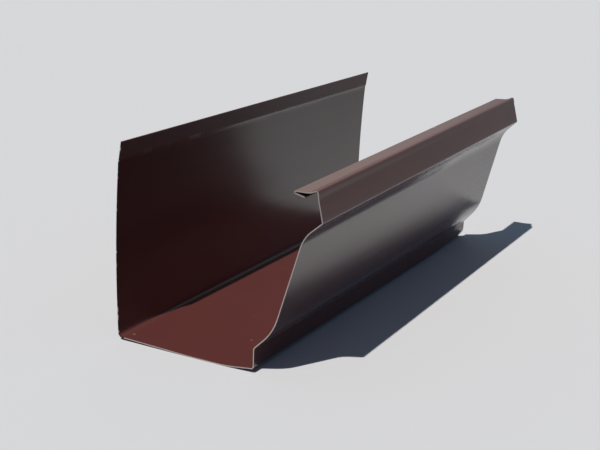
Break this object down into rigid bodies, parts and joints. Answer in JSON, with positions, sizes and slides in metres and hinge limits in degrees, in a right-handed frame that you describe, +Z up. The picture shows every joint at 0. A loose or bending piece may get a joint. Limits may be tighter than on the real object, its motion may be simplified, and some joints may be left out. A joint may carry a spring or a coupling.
{
  "type": "ogee eaves gutter section",
  "caption": "Short length of ogee eaves gutter: an open channel roll-formed from coated sheet, with a high back, a curved front on a short foot, and a dished lip with an open hem.",
  "frame": {"origin": "on the ground, under the middle of the gutter's length and of its overall width", "axes": "+X along the gutter; +Z up, as the gutter hangs on the eaves; -Y towards the ogee front, +Y towards the back that goes against the fascia board"},
  "size_m": [0.3048, 0.1276, 0.1144],
  "materials": {
    "painted_aluminium": "satin"
  },
  "bodies": {
    "root": {"gutter_section": "painted_aluminium"}
  },
  "joints": []
}
